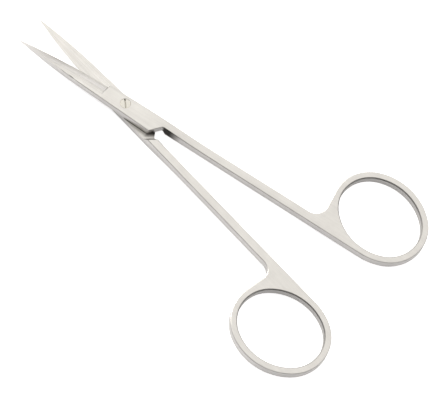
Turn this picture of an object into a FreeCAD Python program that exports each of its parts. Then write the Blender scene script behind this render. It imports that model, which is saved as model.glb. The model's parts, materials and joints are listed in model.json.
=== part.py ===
import FreeCAD, Part
import os
import Sketcher
from FreeCAD import Placement, Rotation, Vector

# Dissecting scissors with a screw lap joint, sharp straight blades and two finger rings.
#
# Frame: +Z is up and +X runs from the pivot towards the tips, midway between the two blades.
# The origin lies on the pivot axis in the plane of the flat underside of the joint.
# The scissors lie part open, as they are put down between cuts.
#
# Both halves are the same forging turned over. Each is drawn closed, with its flat inner
# face on its own XY plane, its outer face above and its finger ring towards -X and -Y.

# Driving sizes, in millimetres and degrees: name, value, meaning.
SIZES = (
    ("tip_reach", 31.8, "pivot axis to blade tip"),
    ("tip_width", 0.3, "blade width at the very tip"),
    ("half_thick", 2.1, "thickness of one half at the joint"),
    ("spine_side", 3.0, "pivot axis to the spine side at the rear corner"),
    ("spine_bend", 12.0, "pivot axis to where the spine starts to curve"),
    ("spine_bend_side", 2.15, "centreline to that point"),
    ("edge_side", 2.1, "centreline to the start of the cutting edge"),
    ("edge_start", 6.3, "pivot axis to where the cutting edge and its bevel start"),
    ("bevel_angle", 36.0, "slope of the ground bevel from the flat inner face"),
    ("edge_land", 0.1, "thickness left at the cutting edge"),
    ("bevel_round", 3.0, "rounding between the bevel and the outer face"),
    ("plunge_lean", 20.0, "lean of the wall where the bevel starts"),
    ("hollow_width", 2.6, "width of the hollow in the inner face near the joint"),
    ("hollow_depth", 0.12, "depth of that hollow"),
    ("hollow_end", 29.0, "pivot axis to where the hollow runs out"),
    ("hollow_end_width", 0.5, "width of the hollow where it runs out"),
    ("rear_reach", 8.9, "pivot axis to the rear corner of the joint"),
    ("neck_reach", 11.4, "pivot axis to the inner corner where the shank starts"),
    ("shoulder_gap", 0.12, "play between the foot of the shoulder and the other half, closed"),
    ("shoulder_slope", 30.0, "lean of the shoulder from upright"),
    ("shoulder_round", 0.4, "hollow radius at the foot of the shoulder"),
    ("closed_gap", 0.2, "gap between the two shanks, closed"),
    ("shank_width", 2.5, "width of the shank seen from above"),
    ("shank_thick", 2.6, "thickness of shank and ring"),
    ("fall_start", 6.0, "pivot axis to where the outer face starts to fall"),
    ("fall_end", 26.0, "pivot axis to where the outer face reaches the shank"),
    ("ring_reach", 70.3, "pivot axis to ring centre along the closed centreline"),
    ("hole_long", 23.0, "long axis of the finger hole"),
    ("hole_wide", 19.6, "short axis of the finger hole"),
    ("hole_end_radius", 9.0, "radius of the two ends of the finger hole"),
    ("hole_chamfer", 0.3, "chamfer of the rims of the finger hole"),
    ("ring_band", 1.85, "width of the ring seen from above"),
    ("ring_tilt", 13.5, "turn of the oval from the centreline"),
    ("web_run", 12.3, "ring centre to where the web leaves the shank"),
    ("web_radius", 3.2, "radius in the corner between shank and web"),
    ("rear_radius", 0.4, "radius of the rear corner of the joint seen from above"),
    ("neck_radius", 0.8, "radius of the inner corner where the shank starts"),
    ("edge_radius", 0.3, "rounding of the long edges"),
    ("screw_head", 2.7, "diameter of the screw head"),
    ("head_height", 0.8, "height of the screw head"),
    ("head_chamfer", 0.1, "chamfer of the rim of the head"),
    ("journal", 2.0, "diameter of the bearing part of the screw"),
    ("thread", 1.6, "diameter of the threaded part of the screw"),
    ("slot_width", 0.35, "width of the screwdriver slot"),
    ("slot_depth", 0.4, "depth of the screwdriver slot"),
    ("slot_turn", 135.0, "turn of the slot from the X axis"),
    ("running_fit", 0.03, "play of the screw in the upper half"),
    ("opening", 14.6, "angle between the two halves as they lie"),
)

# Formulas that several sketches share.
SHANK_IN = "-Sizes.closed_gap / 2"
SHANK_OUT = "-(Sizes.closed_gap / 2 + Sizes.shank_width)"
HOLE_LONG_HALF = "(Sizes.hole_long / 2)"
HOLE_WIDE_HALF = "(Sizes.hole_wide / 2)"
END_SPAN = f"({HOLE_LONG_HALF} - Sizes.hole_end_radius)"
SIDE_GAIN = f"({HOLE_WIDE_HALF} - Sizes.hole_end_radius)"
SIDE_SPAN = f"(({END_SPAN}^2 - {SIDE_GAIN}^2) / (2 * {SIDE_GAIN}))"
TILT = "(Sizes.ring_tilt * 1deg)"
RING_X = "-Sizes.ring_reach"
RING_Y = f"(-Sizes.closed_gap / 2 - Sizes.ring_band - {HOLE_WIDE_HALF} - {SIDE_SPAN} * (1 - cos({TILT})))"
RING_CROWN_X = f"({RING_X} - {SIDE_SPAN} * sin({TILT}))"
SHANK_MIDDLE = "-(Sizes.closed_gap + Sizes.shank_width) / 2"
WEB_X = "-(Sizes.ring_reach - Sizes.web_run)"


def make_sheet(doc):
    """Put the driving sizes in a sheet, one row each with its alias."""
    sheet = doc.addObject("Spreadsheet::Sheet", "Sizes")
    for row, (name, value, meaning) in enumerate(SIZES, start=1):
        sheet.set(f"A{row}", meaning)
        sheet.set(f"B{row}", str(value))
        sheet.setAlias(f"B{row}", name)
    doc.recompute()


def make_body(doc, name):
    """Start a sub-part under its own label."""
    body = doc.addObject("PartDesign::Body", name)
    body.Label = name
    return body


def new_sketch(body, name, role, offset=None):
    """Start a sketch on one of the body's origin planes, moved along its normal by a formula."""
    plane = next(part for part in body.Origin.OriginFeatures if part.Role == role)
    sketch = body.newObject("Sketcher::SketchObject", name)
    sketch.AttachmentSupport = [(plane, "")]
    sketch.MapMode = "FlatFace"
    if offset:
        sketch.setExpression("AttachmentOffset.Base.z", offset)
    return sketch


def pin(sketch, along, across):
    """Add a construction point whose two coordinates follow formulas, and return its number."""
    point = sketch.addGeometry(Part.Point(Vector(1, 1, 0)), True)
    for kind, formula in (("DistanceX", along), ("DistanceY", across)):
        rule = sketch.addConstraint(Sketcher.Constraint(kind, -1, 1, point, 1, 1.0))
        sketch.setExpression(f"Constraints[{rule}]", formula)
    return point


def pins(sketch, places):
    """Pin several points and settle them, so that edges can start in their true place."""
    points = [pin(sketch, along, across) for along, across in places]
    sketch.Document.recompute()
    return points


def line(sketch, start, end, construction=False):
    """Join two pinned points with a straight edge, and return its number."""
    shape = Part.LineSegment(sketch.getPoint(start, 1), sketch.getPoint(end, 1))
    edge = sketch.addGeometry(shape, construction)
    sketch.addConstraint(Sketcher.Constraint("Coincident", edge, 1, start, 1))
    sketch.addConstraint(Sketcher.Constraint("Coincident", edge, 2, end, 1))
    return edge


def polygon(sketch, places):
    """Draw a closed outline of straight edges through the given places."""
    points = pins(sketch, places)
    for start, end in zip(points, points[1:] + points[:1]):
        line(sketch, start, end)


def arc_on(sketch, start, end, edge, edge_end):
    """Carry a straight edge on as an arc that is tangent to it at start and stops at end."""
    foot = sketch.getPoint(start, 1)
    tip = sketch.getPoint(end, 1)
    other = sketch.getPoint(edge, 3 - edge_end)
    ahead = (foot - other).normalize()
    chord = tip - foot
    normal = Vector(-ahead.y, ahead.x, 0)
    radius = chord.Length ** 2 / (2 * chord.dot(normal))
    centre = foot + normal * radius
    middle = foot + chord * 0.5 - centre
    crest = centre + middle.normalize() * abs(radius)
    arc = sketch.addGeometry(Part.Arc(foot, crest, tip), False)
    near = 1 if sketch.getPoint(arc, 1).distanceToPoint(foot) < 1e-6 else 2
    sketch.addConstraint(Sketcher.Constraint("Tangent", arc, near, edge, edge_end))
    sketch.addConstraint(Sketcher.Constraint("Coincident", arc, 3 - near, end, 1))
    return arc


def arc_through(sketch, start, middle, end):
    """Draw an arc from one pinned point to another, through a third between them."""
    spots = [sketch.getPoint(point, 1) for point in (start, middle, end)]
    arc = sketch.addGeometry(Part.Arc(*spots), False)
    near = 1 if sketch.getPoint(arc, 1).distanceToPoint(spots[0]) < 1e-6 else 2
    sketch.addConstraint(Sketcher.Constraint("Coincident", arc, near, start, 1))
    sketch.addConstraint(Sketcher.Constraint("Coincident", arc, 3 - near, end, 1))
    sketch.addConstraint(Sketcher.Constraint("PointOnObject", middle, 1, arc))


def circle(sketch, diameter):
    """Draw a circle about the origin whose diameter follows a formula."""
    ring = sketch.addGeometry(Part.Circle(Vector(0, 0, 0), Vector(0, 0, 1), 1.0), False)
    sketch.addConstraint(Sketcher.Constraint("Coincident", ring, 3, -1, 1))
    rule = sketch.addConstraint(Sketcher.Constraint("Diameter", ring, 2.0))
    sketch.setExpression(f"Constraints[{rule}]", diameter)


def in_ring(long_way, wide_way):
    """A place given along the long and the wide way of the tilted oval, as sketch coordinates."""
    return (
        f"{RING_X} + ({long_way}) * cos({TILT}) + ({wide_way}) * sin({TILT})",
        f"{RING_Y} - ({long_way}) * sin({TILT}) + ({wide_way}) * cos({TILT})",
    )


def oval(sketch, band):
    """Draw the finger hole's oval of four tangent arcs, moved outwards by a band.

    Every arc of the band keeps the centre of the hole's own arc. Each pair of arcs meets on
    the line through their two centres.
    """
    end_radius = f"(Sizes.hole_end_radius + {band})"
    share = f"({end_radius} / ({SIDE_SPAN} + {SIDE_GAIN}))"
    joint_long = f"{END_SPAN} * (1 + {share})"
    joint_wide = f"{SIDE_SPAN} * {share}"
    far_long = f"{HOLE_LONG_HALF} + {band}"
    far_wide = f"{HOLE_WIDE_HALF} + {band}"
    points = pins(sketch, (
        in_ring(far_long, "0"), in_ring(joint_long, joint_wide),
        in_ring("0", far_wide), in_ring(f"-({joint_long})", joint_wide),
        in_ring(f"-({far_long})", "0"), in_ring(f"-({joint_long})", f"-({joint_wide})"),
        in_ring("0", f"-({far_wide})"), in_ring(joint_long, f"-({joint_wide})"),
    ))
    for crest in range(0, len(points), 2):
        arc_through(sketch, points[crest - 1], points[crest], points[crest + 1])


def pad(body, sketch, name, length):
    """Raise the sketch upwards from its plane by a formula."""
    feature = body.newObject("PartDesign::Pad", name)
    feature.Profile = sketch
    feature.setExpression("Length", length)
    body.Document.recompute()


def pocket_through(body, sketch, name):
    """Cut the sketch through the whole body, both ways from its plane."""
    feature = body.newObject("PartDesign::Pocket", name)
    feature.Profile = sketch
    feature.Type = "ThroughAll"
    feature.Midplane = True
    body.Document.recompute()


def pocket_down(body, sketch, name, length):
    """Cut the sketch downwards from its plane by a formula."""
    feature = body.newObject("PartDesign::Pocket", name)
    feature.Profile = sketch
    feature.setExpression("Length", length)
    body.Document.recompute()


def blank(body):
    """The flat blank of blade, joint and shank, as thick as its thickest places."""
    sketch = new_sketch(body, "BlankOutline", "XY_Plane", "-Sizes.shank_thick / 2")
    tip, bend, rear, neck, inner, outer, side = pins(sketch, (
        ("Sizes.tip_reach", "Sizes.tip_width / 2"),
        ("Sizes.spine_bend", "Sizes.spine_bend_side"),
        ("-Sizes.rear_reach", "Sizes.spine_side"),
        ("-Sizes.neck_reach", SHANK_IN),
        (RING_CROWN_X, SHANK_IN),
        (RING_CROWN_X, SHANK_OUT),
        ("Sizes.tip_reach", "-Sizes.edge_side"),
    ))
    spine = line(sketch, rear, bend)
    arc_on(sketch, bend, tip, spine, 2)
    for start, end in ((rear, neck), (neck, inner), (inner, outer), (outer, side), (side, tip)):
        line(sketch, start, end)
    pad(body, sketch, "Blank", "Sizes.half_thick + Sizes.shank_thick / 2")


def ring(body):
    """The oval finger ring, whose inner side runs on from the inner side of the shank."""
    sketch = new_sketch(body, "RingOutline", "XY_Plane", "-Sizes.shank_thick / 2")
    oval(sketch, "Sizes.ring_band")
    pad(body, sketch, "Ring", "Sizes.shank_thick")


def fall(body):
    """Thin the outer face from the joint down to the shank in an easy double curve."""
    sketch = new_sketch(body, "FallProfile", "XZ_Plane")
    top = "Sizes.half_thick"
    low = "Sizes.shank_thick / 2"
    over = "2 * Sizes.half_thick"
    far = "-(Sizes.ring_reach + Sizes.hole_long)"
    pivot, crest, middle, foot, end, corner, above = pins(sketch, (
        ("0", top),
        ("-Sizes.fall_start", top),
        ("-(Sizes.fall_start + Sizes.fall_end) / 2", f"({top} + {low}) / 2"),
        ("-Sizes.fall_end", low),
        (far, low),
        (far, over),
        ("-Sizes.fall_start", over),
    ))
    joint_face = line(sketch, pivot, crest, construction=True)
    shank_face = line(sketch, foot, end)
    arc_on(sketch, crest, middle, joint_face, 2)
    arc_on(sketch, foot, middle, shank_face, 1)
    for start, finish in ((end, corner), (corner, above), (above, crest)):
        line(sketch, start, finish)
    pocket_through(body, sketch, "Fall")


def web(body):
    """Fill the corner between shank and ring, with a side that leaves the oval as a tangent."""
    sketch = new_sketch(body, "WebOutline", "XY_Plane", "-Sizes.shank_thick / 2")
    radius = "(Sizes.hole_end_radius + Sizes.ring_band)"
    centre_x, centre_y = in_ring(END_SPAN, "0")
    aside = f"({WEB_X} - ({centre_x}))"
    above = f"({SHANK_MIDDLE} - ({centre_y}))"
    turn = f"(atan2({above}; {aside}) - acos({radius} / hypot({aside}; {above})))"
    polygon(sketch, (
        (WEB_X, SHANK_MIDDLE),
        (f"{centre_x} + {radius} * cos({turn})", f"{centre_y} + {radius} * sin({turn})"),
        (RING_X, RING_Y),
        (RING_X, SHANK_MIDDLE),
    ))
    pad(body, sketch, "Web", "Sizes.shank_thick")


def lap(body):
    """Cut the inner face back to mid-thickness, from the tip to the sloped shoulder.

    The shoulder runs alongside the rear end of the other half when the scissors are closed,
    so the profile stands square to that line.
    """
    sketch = new_sketch(body, "LapProfile", "XZ_Plane")
    set_back = "(Sizes.neck_reach - Sizes.rear_reach)"
    lean = f"atan({set_back} / (Sizes.spine_side + Sizes.closed_gap / 2))"
    sketch.AttachmentOffset = Placement(Vector(), Rotation(Vector(0, 1, 0), 40))
    sketch.setExpression("AttachmentOffset.Rotation.Angle", lean)
    reach = "(Sizes.rear_reach + Sizes.shoulder_gap)"
    start = f"-({reach} * cos({lean}) + Sizes.spine_side * sin({lean}))"
    slope = "(Sizes.shoulder_slope * 1deg)"
    run = f"(Sizes.shoulder_round / tan(45deg + {slope} / 2))"
    depth = "Sizes.shank_thick"
    beyond = "2 * Sizes.tip_reach"
    foot, rise, deep, far, level = pins(sketch, (
        (start, "0"),
        (f"{start} - {run} * (1 + sin({slope}))", f"-{run} * cos({slope})"),
        (f"{start} - {run} - {depth} * tan({slope})", f"-{depth}"),
        (beyond, f"-{depth}"),
        (beyond, "0"),
    ))
    inner_face = line(sketch, level, foot)
    arc_on(sketch, foot, rise, inner_face, 2)
    for begin, end in ((rise, deep), (deep, far), (far, level)):
        line(sketch, begin, end)
    pocket_through(body, sketch, "Lap")


def edge_curve(sketch):
    """Draw the cutting edge seen from above, and return its two end points."""
    pivot, foot, tip = pins(sketch, (
        ("0", "-Sizes.edge_side"),
        ("Sizes.edge_start", "-Sizes.edge_side"),
        ("Sizes.tip_reach", "-Sizes.tip_width / 2"),
    ))
    joint_side = line(sketch, pivot, foot, construction=True)
    arc_on(sketch, foot, tip, joint_side, 2)
    return foot, tip


def cutting_edge(body):
    """Cut the blade to the curve of its cutting edge."""
    sketch = new_sketch(body, "EdgeOutline", "XY_Plane")
    foot, tip = edge_curve(sketch)
    beyond = "Sizes.tip_reach + Sizes.edge_side"
    past, far, low = pins(sketch, (
        (beyond, "-Sizes.tip_width / 2"),
        (beyond, "-2 * Sizes.edge_side"),
        ("Sizes.edge_start", "-2 * Sizes.edge_side"),
    ))
    for start, end in ((tip, past), (past, far), (far, low), (low, foot)):
        line(sketch, start, end)
    pocket_through(body, sketch, "CuttingEdge")


def bevel(body):
    """Grind the outer face down to the cutting edge, along the curve of that edge.

    The rounding above the bevel ends a hair over the outer face and meets it at a small angle.
    """
    path = new_sketch(body, "EdgeLine", "XY_Plane")
    foot, tip = edge_curve(path)
    past, = pins(path, (("Sizes.tip_reach + 4 * Sizes.tip_width", "Sizes.tip_width / 2"),))
    line(path, tip, past)
    section = new_sketch(body, "BevelSection", "YZ_Plane", "Sizes.edge_start")
    slope = "(Sizes.bevel_angle * 1deg)"
    outside = "Sizes.tip_width"
    crest = "(Sizes.half_thick + Sizes.edge_land / 10)"
    corner = f"(-Sizes.edge_side + ({crest} - Sizes.edge_land) / tan({slope}))"
    run = f"(Sizes.bevel_round * tan({slope} / 2))"
    top = "2 * Sizes.half_thick"
    low, bend, fade, above, back = pins(section, (
        (f"-Sizes.edge_side - {outside}", f"Sizes.edge_land - {outside} * tan({slope})"),
        (f"{corner} - {run} * cos({slope})", f"{crest} - {run} * sin({slope})"),
        (f"{corner} + {run}", crest),
        (f"{corner} + {run}", top),
        (f"-Sizes.edge_side - {outside}", top),
    ))
    ground = line(section, low, bend)
    arc_on(section, bend, fade, ground, 2)
    for start, end in ((fade, above), (above, back), (back, low)):
        line(section, start, end)
    feature = body.newObject("PartDesign::SubtractivePipe", "Bevel")
    feature.Profile = section
    feature.Spine = (path, [])
    body.Document.recompute()


def plunge(body):
    """Lean back the wall where the bevel starts, about its foot line on the bevel."""
    sketch = new_sketch(body, "PlungeProfile", "XZ_Plane")
    slope = "(Sizes.bevel_angle * 1deg)"
    sketch.AttachmentOffset = Placement(Vector(), Rotation(Vector(1, 0, 0), 40))
    sketch.setExpression("AttachmentOffset.Rotation.Angle", slope)
    foot = f"(Sizes.edge_side * sin({slope}) + Sizes.edge_land * cos({slope}))"
    high = f"{foot} + 2 * Sizes.half_thick"
    polygon(sketch, (
        ("Sizes.edge_start", foot),
        ("Sizes.edge_start", high),
        (f"Sizes.edge_start - 2 * Sizes.half_thick * tan(Sizes.plunge_lean * 1deg)", high),
    ))
    pocket_through(body, sketch, "Plunge")


def hollow_section(body, name, place, width, depth):
    """One flat segment of a circle that stands across the blade on its inner face."""
    sketch = new_sketch(body, name, "YZ_Plane", place)
    left, crown, right = pins(sketch, (
        (f"-{width} / 2", "0"),
        ("0", depth),
        (f"{width} / 2", "0"),
    ))
    line(sketch, left, right)
    arc_through(sketch, left, crown, right)
    return sketch


def hollow(body):
    """Hollow the inner face of the blade a little, so that only its borders touch."""
    foot = hollow_section(body, "HollowFoot", "Sizes.edge_start", "Sizes.hollow_width",
                          "Sizes.hollow_depth")
    end = hollow_section(body, "HollowEnd", "Sizes.hollow_end", "Sizes.hollow_end_width",
                         "Sizes.hollow_depth * Sizes.hollow_end_width / Sizes.hollow_width")
    feature = body.newObject("PartDesign::SubtractiveLoft", "Hollow")
    feature.Profile = foot
    feature.Sections = [end]
    feature.Ruled = True
    body.Document.recompute()


def ease_edges(body, kind, name, amount, chosen):
    """Round ("Fillet") or bevel ("Chamfer") the edges of the body that the test picks."""
    base = body.Tip
    names = [f"Edge{number}" for number, edge in enumerate(base.Shape.Edges, start=1) if chosen(edge)]
    feature = body.newObject(f"PartDesign::{kind}", name)
    feature.Base = (base, names)
    feature.setExpression("Radius" if kind == "Fillet" else "Size", amount)
    body.Document.recompute()


def size(doc, name):
    """The value of one driving size."""
    return float(doc.Sizes.get(name))


def upright_near(body, x, y):
    """A test for the upright edge that lies nearest to a place seen from above."""
    place = Vector(x, y, 0)
    upright = [edge for edge in body.Tip.Shape.Edges
               if edge.BoundBox.XLength + edge.BoundBox.YLength < 1e-4]
    nearest = min(upright, key=lambda edge: place.distanceToLine(edge.BoundBox.Center, Vector(0, 0, 1)))
    return nearest.isSame


def corners(body):
    """Round the corners of the joint, and run the web into the shank with a large radius."""
    doc = body.Document
    inner = -size(doc, "closed_gap") / 2
    outer = inner - size(doc, "shank_width")
    rear = (-size(doc, "rear_reach"), size(doc, "spine_side"))
    neck = (-size(doc, "neck_reach"), inner)
    foot = (size(doc, "web_run") - size(doc, "ring_reach"), outer)
    ease_edges(body, "Fillet", "WebCorner", "Sizes.web_radius", upright_near(body, *foot))
    ease_edges(body, "Fillet", "RearCorner", "Sizes.rear_radius", upright_near(body, *rear))
    ease_edges(body, "Fillet", "NeckCorner", "Sizes.neck_radius", upright_near(body, *neck))


def is_rim(shape, edge, side, level):
    """Whether an edge joins an upright wall to the nearly level face on the given side."""
    lifts = []
    for face in shape.ancestorsOfType(edge, Part.Face):
        u_start, u_end, v_start, v_end = face.ParameterRange
        normal = face.normalAt((u_start + u_end) / 2, (v_start + v_end) / 2)
        lifts.append(side * normal.z)
    middle = edge.valueAt((edge.FirstParameter + edge.LastParameter) / 2)
    meets = len(lifts) == 2 and abs(min(lifts)) < 0.01 and max(lifts) > 0.95
    return meets and side * middle.z > level - 1e-3


def long_edges(body):
    """Take the sharpness off the rims of the outer face and of the inner face of the shank."""
    level = size(body.Document, "shank_thick") / 2
    for name, side in (("OuterRims", 1), ("InnerRims", -1)):
        shape = body.Tip.Shape
        ease_edges(body, "Fillet", name, "Sizes.edge_radius",
                   lambda edge: is_rim(shape, edge, side, level))


def finger_hole(body):
    """Open the ring with a chamfered oval that leaves its band the same width all round."""
    sketch = new_sketch(body, "HoleOutline", "XY_Plane")
    oval(sketch, "0")
    pocket_through(body, sketch, "FingerHole")
    level = size(body.Document, "shank_thick") / 2
    shape = body.Tip.Shape
    ease_edges(body, "Chamfer", "HoleRims", "Sizes.hole_chamfer",
               lambda edge: any(is_rim(shape, edge, side, level) for side in (1, -1)))


def pivot_bore(body, bore, seat=None):
    """Bore the half for the screw; a seat sinks the screw head into the outer face."""
    sketch = new_sketch(body, "BoreOutline", "XY_Plane")
    circle(sketch, bore)
    pocket_through(body, sketch, "Bore")
    if seat:
        diameter, depth = seat
        sketch = new_sketch(body, "SeatOutline", "XY_Plane", "Sizes.half_thick")
        circle(sketch, diameter)
        pocket_down(body, sketch, "Seat", depth)


def make_half(doc, name, bore, seat=None):
    """One half, lying closed with its inner face on the XY plane."""
    body = make_body(doc, name)
    for step in (blank, ring, web, corners, fall, lap, long_edges, finger_hole,
                 cutting_edge, bevel, plunge, hollow):
        step(body)
    pivot_bore(body, bore, seat)
    return body


def make_upper_half(doc):
    """The half on top, which turns about the journal of the screw."""
    play = "2 * Sizes.running_fit"
    seat = (f"Sizes.screw_head + {play}", "Sizes.head_height + Sizes.running_fit")
    body = make_half(doc, "upper_half", f"Sizes.journal + {play}", seat)
    body.Placement = Placement(Vector(), Rotation(Vector(0, 0, 1), 1))
    body.setExpression("Placement.Base.z", "Sizes.half_thick")
    body.setExpression("Placement.Rotation.Angle", "Sizes.opening / 2 * 1deg")
    return body


def make_lower_half(doc):
    """The half underneath, turned over, with the screw fast in its thread."""
    body = make_half(doc, "lower_half", "Sizes.thread")
    body.Placement = Placement(Vector(), Rotation(Vector(1, 0, 0), 180))
    body.setExpression("Placement.Base.z", "Sizes.half_thick")
    body.setExpression("Placement.Rotation.Axis.x", "cos(Sizes.opening / 4 * 1deg)")
    body.setExpression("Placement.Rotation.Axis.y", "-sin(Sizes.opening / 4 * 1deg)")
    return body


def make_pivot_screw(doc):
    """The slotted screw: head flush in the upper half, end flush with the lower half."""
    body = make_body(doc, "pivot_screw")
    sketch = new_sketch(body, "ScrewProfile", "XZ_Plane")
    top = "2 * Sizes.half_thick"
    under_head = f"({top} - Sizes.head_height)"
    polygon(sketch, (
        ("0", "0"),
        ("Sizes.thread / 2", "0"),
        ("Sizes.thread / 2", "Sizes.half_thick"),
        ("Sizes.journal / 2", "Sizes.half_thick"),
        ("Sizes.journal / 2", under_head),
        ("Sizes.screw_head / 2", under_head),
        ("Sizes.screw_head / 2", f"{top} - Sizes.head_chamfer"),
        ("Sizes.screw_head / 2 - Sizes.head_chamfer", top),
        ("0", top),
    ))
    turned = body.newObject("PartDesign::Revolution", "Turned")
    turned.Profile = sketch
    turned.ReferenceAxis = (sketch, ["V_Axis"])
    turned.Angle = 360
    doc.recompute()
    slot = new_sketch(body, "SlotOutline", "XY_Plane", top)
    slot.AttachmentOffset = Placement(Vector(), Rotation(Vector(0, 0, 1), 1))
    slot.setExpression("AttachmentOffset.Rotation.Angle", "Sizes.slot_turn * 1deg")
    polygon(slot, (
        ("-Sizes.screw_head", "-Sizes.slot_width / 2"),
        ("Sizes.screw_head", "-Sizes.slot_width / 2"),
        ("Sizes.screw_head", "Sizes.slot_width / 2"),
        ("-Sizes.screw_head", "Sizes.slot_width / 2"),
    ))
    pocket_down(body, slot, "Slot", "Sizes.slot_depth")
    return body


def check(doc, bodies):
    """Stop if a step failed or a piece isn't one sound solid."""
    for item in doc.Objects:
        if "Invalid" in item.State or "Error" in item.State:
            raise RuntimeError(f"{item.Name} did not build")
    for body in bodies:
        shape = body.Shape
        if shape.isNull() or not shape.isValid() or len(shape.Solids) != 1:
            raise RuntimeError(f"{body.Label} is not one sound solid")


def main():
    doc = FreeCAD.newDocument("DissectingScissors")
    make_sheet(doc)
    bodies = [make_upper_half(doc), make_lower_half(doc), make_pivot_screw(doc)]
    doc.recompute()
    check(doc, bodies)
    os.makedirs("parts", exist_ok=True)
    for body in bodies:
        body.Shape.exportStep(f"parts/{body.Label}.step")
        print(f"{body.Label}: {body.Shape.Volume:.1f} cubic millimetres")


main()
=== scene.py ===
"""Dissecting scissors: steel finishes, studio floor, light and camera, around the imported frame."""

import json
import math

import bpy
import numpy as np
from bpy.props import FloatProperty, FloatVectorProperty, PointerProperty
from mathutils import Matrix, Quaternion, Vector


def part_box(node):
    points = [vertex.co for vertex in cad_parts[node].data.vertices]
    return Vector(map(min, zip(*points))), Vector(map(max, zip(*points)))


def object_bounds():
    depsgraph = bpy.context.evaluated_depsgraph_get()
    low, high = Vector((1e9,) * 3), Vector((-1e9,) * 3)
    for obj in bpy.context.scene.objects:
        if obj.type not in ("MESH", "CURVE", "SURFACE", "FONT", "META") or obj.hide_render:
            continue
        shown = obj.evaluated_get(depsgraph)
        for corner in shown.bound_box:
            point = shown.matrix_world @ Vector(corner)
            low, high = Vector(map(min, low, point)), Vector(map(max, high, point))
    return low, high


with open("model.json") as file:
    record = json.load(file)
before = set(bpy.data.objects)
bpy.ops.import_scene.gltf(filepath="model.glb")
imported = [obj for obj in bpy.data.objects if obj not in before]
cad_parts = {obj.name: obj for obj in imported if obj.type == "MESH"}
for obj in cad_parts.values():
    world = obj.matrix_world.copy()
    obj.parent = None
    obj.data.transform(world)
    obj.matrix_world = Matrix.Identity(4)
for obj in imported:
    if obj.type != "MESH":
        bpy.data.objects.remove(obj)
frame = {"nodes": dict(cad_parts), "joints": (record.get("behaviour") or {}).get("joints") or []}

bl_info = {
    "name": "Dissecting Scissors",
    "version": (1, 0, 0),
    "blender": (4, 5, 0),
    "location": "View3D > Sidebar > Scissors",
    "description": "Gives the scissors their steel finishes and sets them on a studio floor",
    "category": "Object",
}

MILLIMETRE = 0.001

CAD_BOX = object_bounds()
OPENING = math.radians(-frame["joints"][0]["range_deg"][0])

# Where the painted shade and the painted dark reflection start and end on a half, in millimetres from
# the pivot.
PLUNGE_RUN = 1.2
PLUNGE_SIDE = (-0.6, 0.6)
LAP_REAR = (-9.4, -9.0)
LAP_DEPTH = (0.2, 0.5)
LAP_CORNER = (6.6, 7.9)
LAP_CORNER_WAY = (-0.68, -0.73, 0)
NECK_SIDE = (1.0, 1.4)
NECK_FRONT = (-11.9, -11.4)
NECK_REFLECTION_FADE = (-16.8, -13.6)

# The same for the painted shade in the screw's slot, whose darkest end lies this way.
SLOT_END = (0.7, 1.2)
SLOT_END_WAY = (math.sqrt(0.5), -math.sqrt(0.5), 0)

# The wave texture's scale for a turned ring every 0.22 mm on the screw.
TURNED_SCALE = 1400.0

# The blade's finish comes in over the first run, and its bevel is darker over the second, lightening
# towards the tip.
BLADE_BLEND = 0.4 * MILLIMETRE
BEVEL_DARK_RUN = 4 * MILLIMETRE

# A face of the blade is bevel when its normal rises less than the first of these, 1 being level.
BEVEL_RISE = (0.86, 0.97)
UNDERCUT_RISE = 0.3

FLOOR_HALF = 3.0
KEY_PLACE = (0.8, -0.25, 0.8)
KEY_WIDTH = 0.4
KEY_COLOUR = (1, 0.985, 0.95)

# The room is bright within the larger of these cosines of this way, and dim past the smaller.
BRIGHT_WAY = (0.2, -0.45, 0.87)
ROOM_FADE = (0.1, 0.75)

WHITE = (1, 1, 1, 1)
COOL_WHITE = (0.96, 0.955, 1, 1)
WARM_WHITE = (1, 0.98, 0.94, 1)


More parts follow.
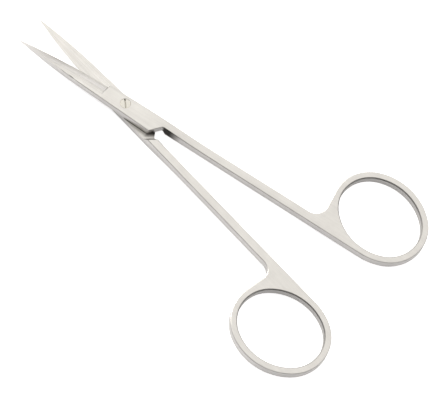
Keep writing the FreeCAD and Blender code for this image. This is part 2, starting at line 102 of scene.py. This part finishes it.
class SteelLook(bpy.types.PropertyGroup):
    """The finish of the two halves."""

    colour: FloatVectorProperty(
        name="Steel colour", description="Colour of the satin steel",
        subtype="COLOR", size=3, min=0, max=1, default=(0.60, 0.588, 0.57))
    roughness: FloatProperty(
        name="Satin roughness", description="How matt the brushed faces are",
        subtype="FACTOR", min=0, max=1, default=0.33)
    ground_roughness: FloatProperty(
        name="Ground roughness", description="How matt the ground faces of the blade are",
        subtype="FACTOR", min=0, max=1, default=0.27)
    grain: FloatProperty(
        name="Grain", description="Width of one brushed line",
        unit="LENGTH", default=0.12 * MILLIMETRE)
    grain_depth: FloatProperty(
        name="Grain depth", description="Depth of the brushed lines",
        unit="LENGTH", default=0.002 * MILLIMETRE)
    cloud: FloatProperty(
        name="Cloud", description="Size of one soft patch of lighter or darker steel",
        unit="LENGTH", default=3.5 * MILLIMETRE)
    blade_gloss: FloatProperty(
        name="Blade gloss", description="How much brighter the ground blade is than the rest",
        min=0, default=1.07)
    # Reach of the painted shade that darkens corners between two faces.
    crevice_shade: FloatProperty(
        name="Crevice", description="How far soil reaches out of a corner between two faces",
        unit="LENGTH", default=0.28 * MILLIMETRE)
    # Within this radius of the pivot no painted shade is put in corners.
    shade_free_round: FloatProperty(
        name="Clean round the screw", description="Radius about the pivot that stays free of soil",
        unit="LENGTH", default=1.8 * MILLIMETRE)
    # Colour of the painted shade and the painted dark reflection on the halves.
    painted_shade: FloatVectorProperty(
        name="Soil", description="Colour of what settles in the corners",
        subtype="COLOR", size=3, min=0, max=1, default=(0.03, 0.025, 0.02))
    blade_start: FloatProperty(
        name="Blade start", description="Distance from the pivot to where the blade is ground",
        unit="LENGTH", default=6.3 * MILLIMETRE)
    ring_reach: FloatProperty(
        name="Ring reach", description="Pivot to the middle of the finger ring, along the half",
        unit="LENGTH", default=70.3 * MILLIMETRE)
    ring_offset: FloatProperty(
        name="Ring offset", description="Middle of the finger ring to the side of the half's line",
        unit="LENGTH", default=11.9 * MILLIMETRE)
    ring_radius: FloatProperty(
        name="Ring radius", description="Reach of the finger hole's wall from its middle",
        unit="LENGTH", default=12.6 * MILLIMETRE)
    # Painted shade: the finger hole's wall is darkened to this share of the rest.
    ring_wall_shade: FloatProperty(
        name="Ring inside", description="Brightness of the finger hole's wall beside the rest",
        subtype="FACTOR", min=0, max=1, default=0.8)


class ScrewLook(bpy.types.PropertyGroup):
    """The finish of the pivot screw."""

    colour: FloatVectorProperty(
        name="Screw colour", description="Colour of the polished screw",
        subtype="COLOR", size=3, min=0, max=1, default=(0.64, 0.625, 0.58))
    roughness: FloatProperty(
        name="Polish", description="How matt the screw's head is",
        subtype="FACTOR", min=0, max=1, default=0.24)
    # Past this radius the head's rim gets a painted highlight.
    rim: FloatProperty(
        name="Rim", description="Radius past which the head's rim is burnished",
        unit="LENGTH", default=1.22 * MILLIMETRE)
    # Colour of the painted highlight on the head's rim.
    rim_highlight_colour: FloatVectorProperty(
        name="Rim colour", description="Colour of the burnished rim",
        subtype="COLOR", size=3, min=0, max=1, default=(0.95, 0.92, 0.85))
    # Colour of the painted shade in the screw's slot.
    painted_shade: FloatVectorProperty(
        name="Soil", description="Colour of what settles in the slot",
        subtype="COLOR", size=3, min=0, max=1, default=(0.5, 0.48, 0.43))


class StageLook(bpy.types.PropertyGroup):
    """The floor, the light and the camera."""

    azimuth: FloatProperty(
        name="Camera azimuth", description="Way the camera looks, turned from +Y",
        subtype="ANGLE", default=math.radians(198.87))
    elevation: FloatProperty(
        name="Camera elevation", description="Height of the camera above the horizon",
        subtype="ANGLE", default=math.radians(64.7))
    roll: FloatProperty(
        name="Camera roll", description="Turn of the camera about its own view",
        subtype="ANGLE", default=math.radians(21.95))
    distance: FloatProperty(
        name="Camera distance", description="Camera to the point it looks at",
        unit="LENGTH", default=0.9504)
    lens: FloatProperty(
        name="Lens", description="Focal length on a 36 mm wide sensor, in millimetres",
        default=305.8)
    aim: FloatVectorProperty(
        name="Camera aim", description="Point in the middle of the picture",
        subtype="TRANSLATION", unit="LENGTH", size=3, default=(-0.03475, 0.00353, 0.0021))
    floor_colour: FloatVectorProperty(
        name="Floor colour", description="Colour of the floor",
        subtype="COLOR", size=3, min=0, max=1, default=(0.79, 0.785, 0.795))
    floor_glow: FloatProperty(
        name="Floor glow", description="What the camera sees beyond the floor's own light",
        min=0, default=0.75)
    floor_sheen: FloatProperty(
        name="Floor sheen", description="What the steel mirrors beyond the floor's own light",
        min=0, default=0.27)
    bright: FloatProperty(
        name="Bright side", description="Brightness of the room behind and above the scissors",
        min=0, default=1.2)
    dim: FloatProperty(
        name="Dim side", description="Brightness of the room on the camera's side",
        min=0, default=0.08)
    softbox_power: FloatProperty(
        name="Softbox power", description="Power of the large light on the blades' side",
        unit="POWER", default=9.0)


class NodeSheet:
    """A short way to add and join the nodes of one material."""

    def __init__(self, tree):
        self.tree = tree

    def add(self, kind, **values):
        """Add a node; values are its own settings, or inputs by their name."""
        node = self.tree.nodes.new(kind)
        for name, value in values.items():
            if hasattr(node, name):
                setattr(node, name, value)
            else:
                self.feed(value, node.inputs[name.replace("_", " ")])
        return node

    def feed(self, value, socket):
        """Join an output socket to an input socket, or set the input to a value."""
        if isinstance(value, bpy.types.NodeSocket):
            self.tree.links.new(value, socket)
        else:
            socket.default_value = value

    def maths(self, operation, *terms):
        """One sum of sockets or numbers, as an output socket."""
        node = self.add("ShaderNodeMath", operation=operation)
        for term, socket in zip(terms, node.inputs):
            self.feed(term, socket)
        return node.outputs[0]

    def product(self, *terms):
        """Numbers or sockets multiplied together."""
        result = terms[0]
        for term in terms[1:]:
            result = self.maths("MULTIPLY", result, term)
        return result

    def most(self, *terms):
        """The greatest of some numbers or sockets."""
        result = terms[0]
        for term in terms[1:]:
            result = self.maths("MAXIMUM", result, term)
        return result

    def spread(self, value, low, high, to_low, to_high, curve="LINEAR"):
        """Carry a socket from one range to another, held at its ends."""
        node = self.add("ShaderNodeMapRange", clamp=True, interpolation_type=curve,
                        Value=value, From_Min=low, From_Max=high, To_Min=to_low, To_Max=to_high)
        return node.outputs["Result"]

    def blend(self, share, first, second):
        """Mix two numbers by a share."""
        node = self.add("ShaderNodeMix", data_type="FLOAT")
        for value, slot in zip((share, first, second), (0, 2, 3)):
            self.feed(value, node.inputs[slot])
        return node.outputs[0]

    def tint(self, share, first, second, way="MIX"):
        """Mix two colours by a share."""
        node = self.add("ShaderNodeMix", data_type="RGBA", blend_type=way)
        for value, slot in zip((share, first, second), (0, 6, 7)):
            self.feed(value, node.inputs[slot])
        return node.outputs[2]

    def step(self, value, run, start, end):
        """Go from one number to another over a run of millimetres."""
        low, high = (place * MILLIMETRE for place in run)
        return self.spread(value, low, high, start, end)

    def vary(self, noise, least, greatest):
        """A brightness that follows a noise, whose middle part fills the range."""
        return self.spread(noise, 0.3, 0.7, least, greatest)

    def vector(self, operation, first, second=None):
        """One sum of vectors, as the node's output sockets."""
        node = self.add("ShaderNodeVectorMath", operation=operation, Vector=first)
        if second is not None:
            self.feed(second, node.inputs[1])
        return node.outputs

    def radius(self, place):
        """Distance from the pivot's axis."""
        plan = self.add("ShaderNodeMapping", Vector=place, Scale=(1, 1, 0)).outputs[0]
        return self.vector("LENGTH", plan)["Value"]

    def crevice_shade(self, reach):
        """How closed in a place is by what stands near it, from 0 for open to 1."""
        node = self.add("ShaderNodeAmbientOcclusion", samples=16, Distance=reach)
        return self.maths("SUBTRACT", 1, node.outputs["AO"])

    def grain(self, place, width, stretch=(1, 1, 1), detail=3.0):
        """Noise of a width, stretched along the axes, as a number from 0 to 1."""
        stretched = self.add("ShaderNodeMapping", Vector=place, Scale=stretch)
        noise = self.add("ShaderNodeTexNoise", Vector=stretched.outputs[0],
                         Scale=1 / width, Detail=detail, Roughness=0.55)
        return noise.outputs["Fac"]


def new_material(name):
    """A fresh node material, its node sheet and its steel shader."""
    material = bpy.data.materials.new(name)
    material.use_nodes = True
    sheet = NodeSheet(material.node_tree)
    shader = material.node_tree.nodes["Principled BSDF"]
    shader.inputs["Metallic"].default_value = 1.0
    return material, sheet, shader


def dress(node, material):
    """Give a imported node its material."""
    slots = frame["nodes"][node].data.materials
    slots.clear()
    slots.append(material)


class HalfPlace:
    """Where a point of a half lies, measured as both halves are made.

    X runs from the pivot towards the tip, Y to the side that the ring leaves free, and Z from the
    inner face to the outer face. The lower half is turned over, so its Y and Z count the other way.
    The attribute object is the same point as the mesh has it, for noise that follows no direction.
    """

    def __init__(self, sheet, side):
        coordinates = sheet.add("ShaderNodeTexCoord").outputs
        settings = {"Rotation": (0, 0, -OPENING / 2), "Scale": (1, side, side)}
        joint_plane = (CAD_BOX[0].z + CAD_BOX[1].z) / 2
        self.object = coordinates["Object"]
        self.place = sheet.add("ShaderNodeMapping", Vector=self.object,
                               Location=(0, 0, -side * joint_plane), **settings).outputs[0]
        self.normal = sheet.add("ShaderNodeMapping", vector_type="VECTOR",
                                Vector=coordinates["Normal"], **settings).outputs[0]
        self.x, self.y, self.z = sheet.add("ShaderNodeSeparateXYZ", Vector=self.place).outputs
        self.to_tip, self.to_side, self.outwards = sheet.add(
            "ShaderNodeSeparateXYZ", Vector=self.normal).outputs


def steep_share(sheet, facing):
    """1 where a part of the normal is large, and 0 where it is small."""
    return sheet.spread(facing, 0.3, 0.6, 0, 1)


def level_share(sheet, half):
    """1 on faces that lie more or less level, and 0 on walls."""
    return steep_share(sheet, sheet.maths("ABSOLUTE", half.outwards))


def plunge_shade(sheet, half, look):
    """Painted shade on the wall where the bevel starts, thinning out towards the cutting edge."""
    start = look.blade_start / MILLIMETRE
    wall = sheet.spread(half.to_tip, 0.4, 0.7, 0, 1)
    begin = sheet.step(half.x, (start - PLUNGE_RUN, start - PLUNGE_RUN + 0.2), 0, 1)
    end = sheet.step(half.x, (start + 0.3, start + 0.5), 1, 0)
    fade = sheet.step(half.y, PLUNGE_SIDE, 0.9, 0)
    return sheet.product(wall, begin, end, fade)


def lap_corner_shade(sheet, half):
    """Painted shade in the corner behind the lap, where the other half's rear end shuts it in."""
    behind = sheet.step(half.x, LAP_REAR, 1, 0)
    sunk = sheet.step(half.z, LAP_DEPTH, 1, 0)
    outwards = sheet.vector("DOT_PRODUCT", half.place, LAP_CORNER_WAY)["Value"]
    fade = sheet.step(outwards, LAP_CORNER, 0.95, 0)
    return sheet.product(level_share(sheet, half), behind, sunk, fade)


def neck_dark_reflection(sheet, half, flecks):
    """A painted dark reflection on the inner wall of the neck, mottled and fading towards the ring.
    """
    wall = steep_share(sheet, half.to_side)
    near = sheet.step(sheet.maths("ABSOLUTE", half.y), NECK_SIDE, 1, 0)
    start = sheet.step(half.x, NECK_FRONT, 1, 0)
    fade = sheet.step(half.x, NECK_REFLECTION_FADE, 0, 0.97)
    return sheet.product(wall, near, start, fade, sheet.spread(flecks, 0.3, 0.6, 0.93, 1))


def inside_ring(sheet, half, look):
    """1 on the wall of the finger hole, which faces the middle of the ring, and 0 elsewhere."""
    away = sheet.vector("SUBTRACT", half.place, (-look.ring_reach, -look.ring_offset, 0))["Vector"]
    facing = sheet.vector("DOT_PRODUCT", away, half.normal)["Value"]
    distance = sheet.vector("LENGTH", away)["Value"]
    return sheet.product(sheet.maths("LESS_THAN", distance, look.ring_radius),
                         sheet.maths("LESS_THAN", facing, 0))


def satin_steel(name, side, look):
    """Satin steel for one half: lines brushed lengthways, and ground across on the blade."""
    material, sheet, shader = new_material(name)
    half = HalfPlace(sheet, side)
    blade = sheet.spread(half.x, look.blade_start, look.blade_start + BLADE_BLEND, 0, 1, "SMOOTHSTEP")
    bevel = sheet.product(blade, sheet.spread(half.outwards, *BEVEL_RISE, 1, 0),
                          sheet.maths("GREATER_THAN", half.outwards, UNDERCUT_RISE))
    # The finger hole's wall, which gets painted shade and more matt steel.
    in_ring = inside_ring(sheet, half, look)

    brushed = sheet.grain(half.place, look.grain, (0.03, 1, 1))
    ground = sheet.grain(half.place, look.grain, (1, 0.04, 0.04))
    lines = sheet.blend(blade, brushed, ground)
    streaks = sheet.grain(half.place, 4 * look.grain, (0.03, 1, 1), detail=2.0)
    speckle = sheet.grain(half.object, look.grain)
    cloud = sheet.grain(half.object, look.cloud, detail=2.0)

    bevel_darkening = sheet.spread(half.x, look.blade_start, look.blade_start + BEVEL_DARK_RUN, 0.93, 1)
    shade = sheet.product(
        sheet.vary(cloud, 0.965, 1.03),
        sheet.vary(lines, 0.97, 1.03),
        sheet.vary(streaks, 0.98, 1.02),
        sheet.spread(blade, 0, 1, 1, look.blade_gloss),
        sheet.blend(bevel, 1, bevel_darkening),
        sheet.spread(in_ring, 0, 1, 1, look.ring_wall_shade))
    colour = sheet.tint(1.0, (*look.colour, 1), shade, "MULTIPLY")

    # Painted shade: corners that the occlusion finds closed in are darkened, on level faces away from
    # the screw.
    crevice_shade = sheet.product(
        sheet.spread(sheet.crevice_shade(look.crevice_shade), 0.12, 0.35, 0, 0.95, "SMOOTHSTEP"),
        sheet.maths("GREATER_THAN", sheet.radius(half.object), look.shade_free_round),
        level_share(sheet, half))
    # All the painted shade and the painted dark reflection, mixed into the colour and made more matt.
    shade_mask = sheet.most(crevice_shade, plunge_shade(sheet, half, look), lap_corner_shade(sheet, half),
                        neck_dark_reflection(sheet, half, speckle))
    sheet.feed(sheet.tint(shade_mask, colour, (*look.painted_shade, 1)), shader.inputs["Base Color"])

    matt = sheet.blend(blade, look.roughness, look.ground_roughness)
    matt = sheet.maths("MULTIPLY_ADD", sheet.maths("SUBTRACT", streaks, 0.5), 0.12, matt)
    matt = sheet.maths("MULTIPLY_ADD", sheet.maths("SUBTRACT", speckle, 0.5), 0.08, matt)
    matt = sheet.maths("MULTIPLY_ADD", in_ring, 0.1, matt)
    sheet.feed(sheet.blend(shade_mask, matt, 0.6), shader.inputs["Roughness"])

    height = sheet.maths("MULTIPLY_ADD", speckle, 0.4, lines)
    bump = sheet.add("ShaderNodeBump", Strength=0.5, Distance=look.grain_depth, Height=height)
    sheet.feed(bump.outputs[0], shader.inputs["Normal"])
    return material


def polished_steel(name, look):
    """Polished steel with faint turned rings about the pivot, a painted highlight on its rim, and
    painted shade in its slot.
    """
    material, sheet, shader = new_material(name)
    place = sheet.add("ShaderNodeTexCoord").outputs["Object"]
    height = sheet.add("ShaderNodeSeparateXYZ", Vector=place).outputs["Z"]
    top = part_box("pivot_screw")[1].z
    rings = sheet.add("ShaderNodeTexWave", wave_type="RINGS", rings_direction="Z", Vector=place,
                      Scale=TURNED_SCALE, Distortion=0.6, Detail=1.0).outputs["Fac"]
    # Painted shade in the slot below the head's top, darkest at one end.
    deep = sheet.spread(height, top - 0.2 * MILLIMETRE, top - 0.12 * MILLIMETRE, 1, 0)
    along_slot = sheet.vector("DOT_PRODUCT", place, SLOT_END_WAY)["Value"]
    dark_end = sheet.step(along_slot, SLOT_END, 1, 0.2)
    painted_shade = sheet.tint(1.0, (*look.painted_shade, 1), dark_end, "MULTIPLY")
    flecks = sheet.grain(place, 0.25 * MILLIMETRE)
    shade_mask = sheet.maths("MULTIPLY", deep, sheet.spread(flecks, 0.35, 0.6, 0.75, 1))
    turned = sheet.tint(1.0, (*look.colour, 1), sheet.spread(rings, 0, 1, 0.96, 1.03), "MULTIPLY")
    # Painted highlight: the head's rim is coloured lighter past the rim radius.
    rim = sheet.spread(sheet.radius(place), look.rim - 0.05 * MILLIMETRE, look.rim, 0, 1)
    turned = sheet.tint(rim, turned, (*look.rim_highlight_colour, 1))
    sheet.feed(sheet.tint(shade_mask, turned, painted_shade), shader.inputs["Base Color"])
    matt = sheet.spread(rings, 0, 1, look.roughness - 0.03, look.roughness + 0.05)
    sheet.feed(sheet.blend(shade_mask, matt, 0.7), shader.inputs["Roughness"])
    return material


class SCISSORS_OT_satin_halves(bpy.types.Operator):
    """Give both halves their satin steel"""

    bl_idname = "scissors.satin_halves"
    bl_label = "Finish the halves"

    def execute(self, context):
        """Dress the two halves, each with its grain along its own length."""
        look = context.scene.scissors_steel
        dress("upper_half", satin_steel("satin_steel_upper", 1, look))
        dress("lower_half", satin_steel("satin_steel_lower", -1, look))
        return {"FINISHED"}


class SCISSORS_OT_polished_screw(bpy.types.Operator):
    """Give the pivot screw its polished steel"""

    bl_idname = "scissors.polished_screw"
    bl_label = "Finish the pivot screw"

    def execute(self, context):
        """Dress the screw."""
        dress("pivot_screw", polished_steel("polished_steel", context.scene.scissors_screw))
        return {"FINISHED"}


def flat_sheet(name, half, level, steps=8):
    """A level square: x and y run evenly from -half to half on a grid, z is the level."""
    run = np.linspace(-half, half, steps + 1)
    x, y = np.meshgrid(run, run)
    points = np.stack((x, y, np.full_like(x, level)), axis=-1).reshape(-1, 3)
    first = (np.arange(steps)[:, None] * (steps + 1) + np.arange(steps)).ravel()
    faces = np.stack((first, first + 1, first + steps + 2, first + steps + 1), axis=1)
    mesh = bpy.data.meshes.new(name)
    mesh.from_pydata(points.tolist(), [], faces.tolist())
    piece = bpy.data.objects.new(name, mesh)
    bpy.context.collection.objects.link(piece)
    return piece


def floor_material(look):
    """A pale floor that keeps its shadows, and glows for the camera and for the steel."""
    material = bpy.data.materials.new("pale_floor")
    material.use_nodes = True
    material.node_tree.nodes.clear()
    sheet = NodeSheet(material.node_tree)
    path = sheet.add("ShaderNodeLightPath").outputs
    seen = sheet.maths("MAXIMUM", path["Is Camera Ray"], path["Is Transmission Ray"])
    mirrored = sheet.maths("MULTIPLY", path["Is Glossy Ray"], look.floor_sheen)
    strength = sheet.maths("MULTIPLY_ADD", seen, look.floor_glow, mirrored)
    lit = sheet.add("ShaderNodeBsdfDiffuse", Color=(*look.floor_colour, 1))
    glow_colour = sheet.tint(path["Is Glossy Ray"], WHITE, COOL_WHITE)
    glow = sheet.add("ShaderNodeEmission", Color=glow_colour, Strength=strength)
    both = sheet.add("ShaderNodeAddShader")
    sheet.feed(lit.outputs[0], both.inputs[0])
    sheet.feed(glow.outputs[0], both.inputs[1])
    sheet.add("ShaderNodeOutputMaterial", Surface=both.outputs[0])
    return material


def softbox(name, place, aim, width, power, colour):
    """A square light that shines from its place towards an aim."""
    lamp = bpy.data.lights.new(name, "AREA")
    lamp.shape = "SQUARE"
    lamp.size = width
    lamp.energy = power
    lamp.color = colour
    box = bpy.data.objects.new(name, lamp)
    box.location = place
    box.rotation_mode = "QUATERNION"
    box.rotation_quaternion = (Vector(place) - Vector(aim)).to_track_quat("Z", "Y")
    bpy.context.collection.objects.link(box)


def surroundings(look):
    """A soft room, bright above and behind the scissors, and dimmer on the camera's side."""
    world = bpy.data.worlds.new("room")
    world.use_nodes = True
    bpy.context.scene.world = world
    sheet = NodeSheet(world.node_tree)
    way = sheet.add("ShaderNodeTexCoord").outputs["Generated"]
    facing = sheet.vector("DOT_PRODUCT", way, Vector(BRIGHT_WAY).normalized())["Value"]
    level = sheet.spread(facing, *ROOM_FADE, look.dim, look.bright, "SMOOTHSTEP")
    background = world.node_tree.nodes["Background"]
    background.inputs["Color"].default_value = WARM_WHITE
    sheet.feed(level, background.inputs["Strength"])


def camera(look):
    """A long lens at the viewing angle of the picture."""
    lens = bpy.data.cameras.new("camera")
    lens.sensor_width = 36
    lens.lens = look.lens
    lens.clip_end = 10
    eye = bpy.data.objects.new("camera", lens)
    level = math.cos(look.elevation)
    back = Vector((math.sin(look.azimuth) * level, -math.cos(look.azimuth) * level,
                   math.sin(look.elevation)))
    eye.location = Vector(look.aim) + back * look.distance
    eye.rotation_mode = "QUATERNION"
    eye.rotation_quaternion = (-back).to_track_quat("-Z", "Y") @ Quaternion((0, 0, 1), look.roll)
    bpy.context.collection.objects.link(eye)
    bpy.context.scene.camera = eye


class SCISSORS_OT_set_stage(bpy.types.Operator):
    """Lay the scissors on a pale floor under soft light, and set the camera"""

    bl_idname = "scissors.set_stage"
    bl_label = "Set the stage"

    def execute(self, context):
        """Make the floor, the lights, the surroundings and the camera."""
        look = context.scene.scissors_stage
        floor = flat_sheet("floor", FLOOR_HALF, CAD_BOX[0].z)
        floor.data.materials.append(floor_material(look))
        softbox("key", KEY_PLACE, look.aim, KEY_WIDTH, look.softbox_power, KEY_COLOUR)
        surroundings(look)
        camera(look)
        context.scene.view_settings.view_transform = "Standard"
        return {"FINISHED"}


class SCISSORS_PT_panel(bpy.types.Panel):
    """The steps, in order"""

    bl_idname = "SCISSORS_PT_panel"
    bl_label = "Dissecting scissors"
    bl_space_type = "VIEW_3D"
    bl_region_type = "UI"
    bl_category = "Scissors"

    def draw(self, context):
        """One button for each step."""
        for step in STEPS:
            self.layout.operator(step.bl_idname)


STEPS = (SCISSORS_OT_satin_halves, SCISSORS_OT_polished_screw, SCISSORS_OT_set_stage)
LOOKS = {"scissors_steel": SteelLook, "scissors_screw": ScrewLook, "scissors_stage": StageLook}


def register():
    """Register the classes and keep their settings with the scene."""
    for kind in (*LOOKS.values(), *STEPS, SCISSORS_PT_panel):
        bpy.utils.register_class(kind)
    for name, kind in LOOKS.items():
        setattr(bpy.types.Scene, name, PointerProperty(type=kind))


def unregister():
    """Take the settings and the classes away again."""
    for name in LOOKS:
        delattr(bpy.types.Scene, name)
    for kind in reversed((*LOOKS.values(), *STEPS, SCISSORS_PT_panel)):
        bpy.utils.unregister_class(kind)


def main():
    """Build the scene."""
    register()
    bpy.ops.scissors.satin_halves()
    bpy.ops.scissors.polished_screw()
    bpy.ops.scissors.set_stage()


if __name__ == "__main__":
    main()
